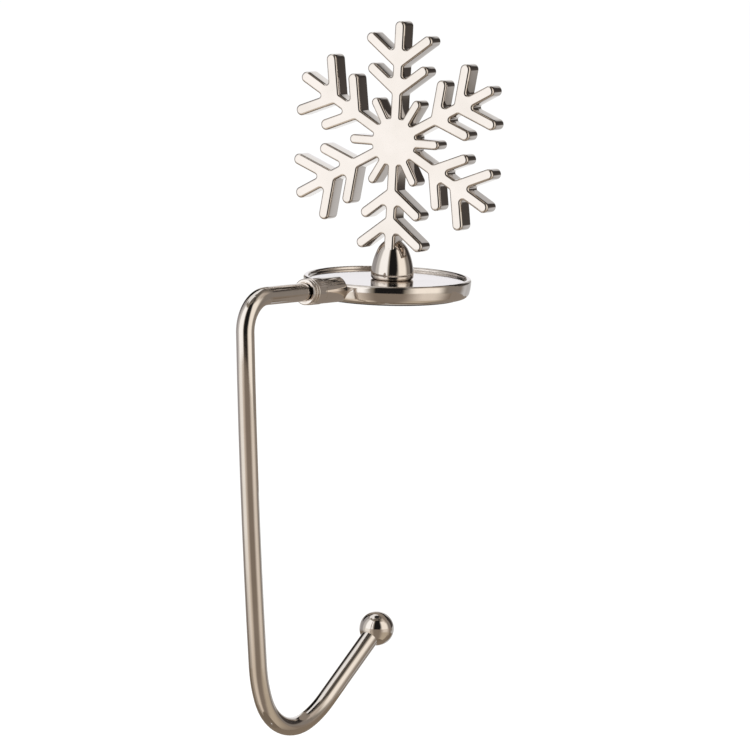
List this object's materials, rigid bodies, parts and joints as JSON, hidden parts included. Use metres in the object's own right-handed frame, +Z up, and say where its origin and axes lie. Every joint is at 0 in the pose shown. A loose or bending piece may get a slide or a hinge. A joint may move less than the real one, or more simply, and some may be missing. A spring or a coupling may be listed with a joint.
{
  "type": "mantel ornament hook",
  "caption": "Polished nickel mantel hook: a round tray base carries a bent arm that curls back to a ball tip, and a thick cast snowflake stands on a bell foot.",
  "frame": {"origin": "on the mantel surface, at the centre of the round tray's pad", "axes": "+Z up, -Y out towards the room along the arm, +X to the right when the arm points at the viewer"},
  "size_m": [0.0754, 0.1112, 0.2432],
  "materials": {
    "polished_nickel": "mirror-polished nickel plate, warm tone",
    "zinc_plated_steel": "bright zinc plate",
    "black_foam_rubber": "matt closed-cell foam"
  },
  "bodies": {
    "root": {"base_dish": "polished_nickel", "collar_ferrule": "polished_nickel", "hook_arm": "polished_nickel", "ball_tip": "polished_nickel", "snowflake": "polished_nickel", "foot_screw": "zinc_plated_steel", "lock_washer": "zinc_plated_steel", "base_pad": "black_foam_rubber"}
  },
  "joints": []
}
